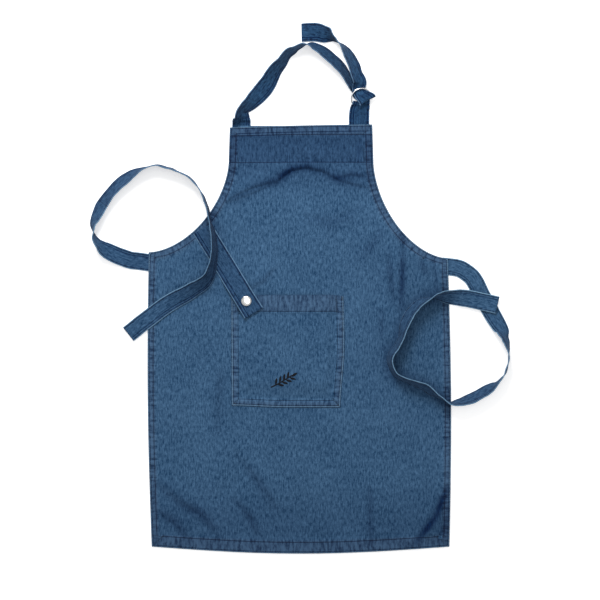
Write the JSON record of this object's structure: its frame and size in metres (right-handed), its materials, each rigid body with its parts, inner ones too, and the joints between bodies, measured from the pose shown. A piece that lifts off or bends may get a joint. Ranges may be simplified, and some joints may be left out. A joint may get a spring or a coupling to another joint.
{
  "type": "bib apron",
  "caption": "Denim bib apron lying flat, with a patch pocket, snap towel strap, ring-adjusted neck strap and loosely looped waist ties.",
  "frame": {"origin": "middle of the whole lying apron at the level of the surface it lies on", "axes": "+Y along the apron towards the neck strap, +Z out of the front face, +X towards the right of the apron as seen from the front"},
  "size_m": [0.8372, 1.0599, 0.0411],
  "materials": {
    "denim": "matte twill",
    "strap_denim": "matte twill",
    "thread": "matte thread",
    "dark_thread": "satin thread",
    "ring_metal": "polished",
    "snap_metal": "polished"
  },
  "bodies": {
    "apron": {"body_panel": "denim", "bib_facing": "denim", "left_armhole_facing": "denim", "right_armhole_facing": "denim", "left_side_hem": "denim", "right_side_hem": "denim", "bottom_hem": "denim", "hem_stitching": "thread", "bib_stitching": "thread", "patch_pocket": "denim", "pocket_hem": "denim", "pocket_stitching": "thread", "pocket_bartacks": "thread", "embroidered_motif": "dark_thread", "towel_strap_root": "denim", "snap_stud": "snap_metal", "snap_post": "snap_metal", "left_tie_root": "denim", "right_tie_root": "denim", "tie_stitching": "thread"},
    "neck_loop": {"neck_strap": "strap_denim", "neck_tab": "strap_denim"},
    "ring_front": {"front_ring": "ring_metal"},
    "ring_back": {"back_ring": "ring_metal"},
    "towel_flap": {"towel_strap": "denim", "snap_cap": "snap_metal", "snap_socket": "snap_metal"},
    "tie_left": {"left_tie": "denim"},
    "tie_right": {"right_tie": "denim"}
  },
  "joints": [
    {"name": "neck_loop_fold", "type": "hinge", "parent": "apron", "child": "neck_loop", "pos_m": [0, 0.328, 0.0015], "axis": [1, 0, 0], "range_deg": [0, 100]},
    {"name": "front_ring_swing", "type": "hinge", "parent": "neck_loop", "child": "ring_front", "pos_m": [0.122, 0.374, 0.0066], "axis": [0.9511, 0.309, 0], "range_deg": [0, 12]},
    {"name": "back_ring_swing", "type": "hinge", "parent": "neck_loop", "child": "ring_back", "pos_m": [0.122, 0.374, 0.0032], "axis": [0.9511, 0.309, 0], "range_deg": [0, 2]},
    {"name": "towel_strap_lift", "type": "hinge", "parent": "apron", "child": "towel_flap", "pos_m": [-0.14807, 0.03867, 0.0053], "axis": [-0.8526, -0.5225, 0], "range_deg": [0, 75]},
    {"name": "left_tie_lift", "type": "hinge", "parent": "apron", "child": "tie_left", "pos_m": [-0.4135, 0.11, 0], "axis": [0, -1, 0], "range_deg": [0, 90]},
    {"name": "right_tie_lift", "type": "hinge", "parent": "apron", "child": "tie_right", "pos_m": [0.35, 0.016, 0], "axis": [-1, 0, 0], "range_deg": [0, 90]}
  ]
}
